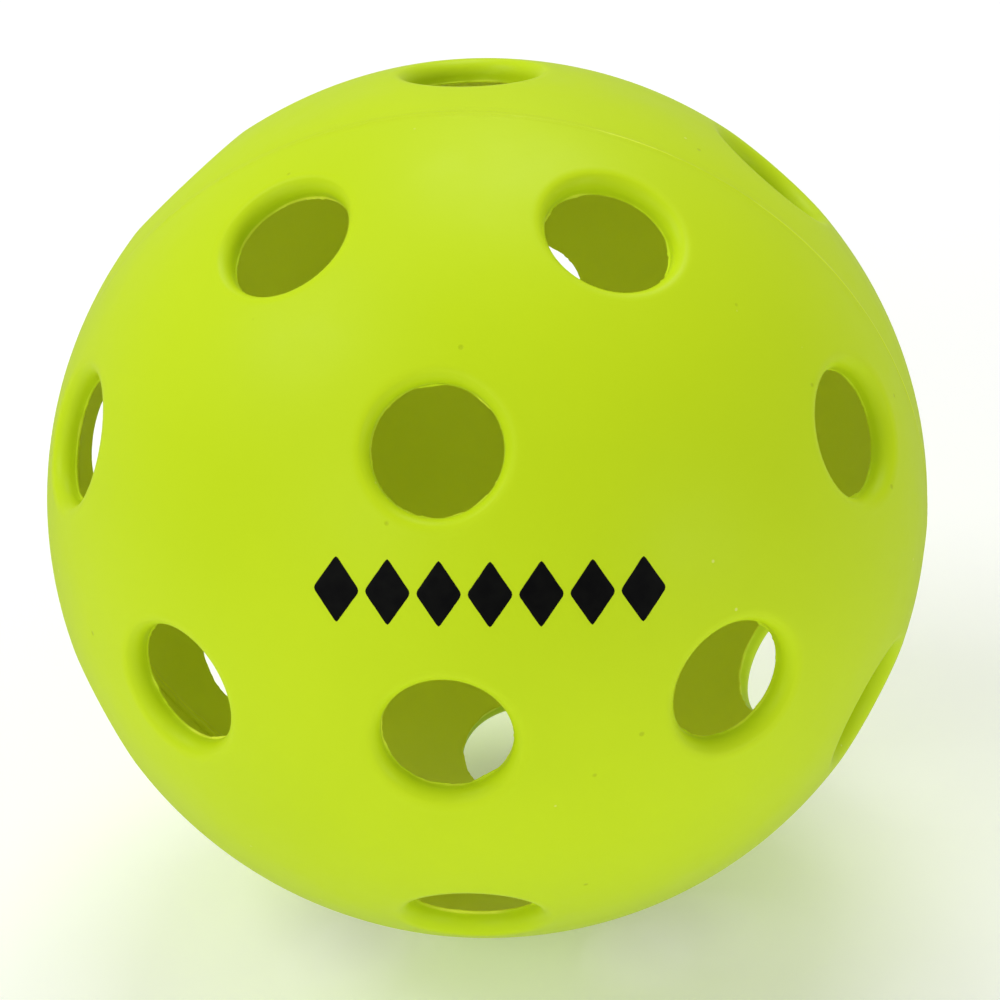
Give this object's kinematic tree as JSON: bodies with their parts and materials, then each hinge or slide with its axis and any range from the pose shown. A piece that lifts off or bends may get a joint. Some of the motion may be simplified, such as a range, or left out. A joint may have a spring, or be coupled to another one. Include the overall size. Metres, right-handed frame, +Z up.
{
  "type": "pickleball ball",
  "caption": "Hollow perforated plastic ball: two moulded half shells with rounded air holes, welded rim to rim, with a plain printed mark.",
  "frame": {"origin": "centre of the ball, in the plane of the weld", "axes": "+Y from the front half's polar hole to the rear half's polar hole, through both moulding poles; +Z up over a hole of the front half's inner ring; +X to the right seen from the front"},
  "size_m": [0.0741, 0.0728, 0.0742],
  "materials": {
    "shell": "satin lime-yellow polyethylene, slightly translucent",
    "weld": "remelted polyethylene, a little paler and glossier than the shell",
    "ink": "matte black pad-printing ink"
  },
  "bodies": {
    "root": {"front_half": "shell", "rear_half": "shell", "weld_bead": "weld", "printed_mark": "ink"}
  },
  "joints": []
}
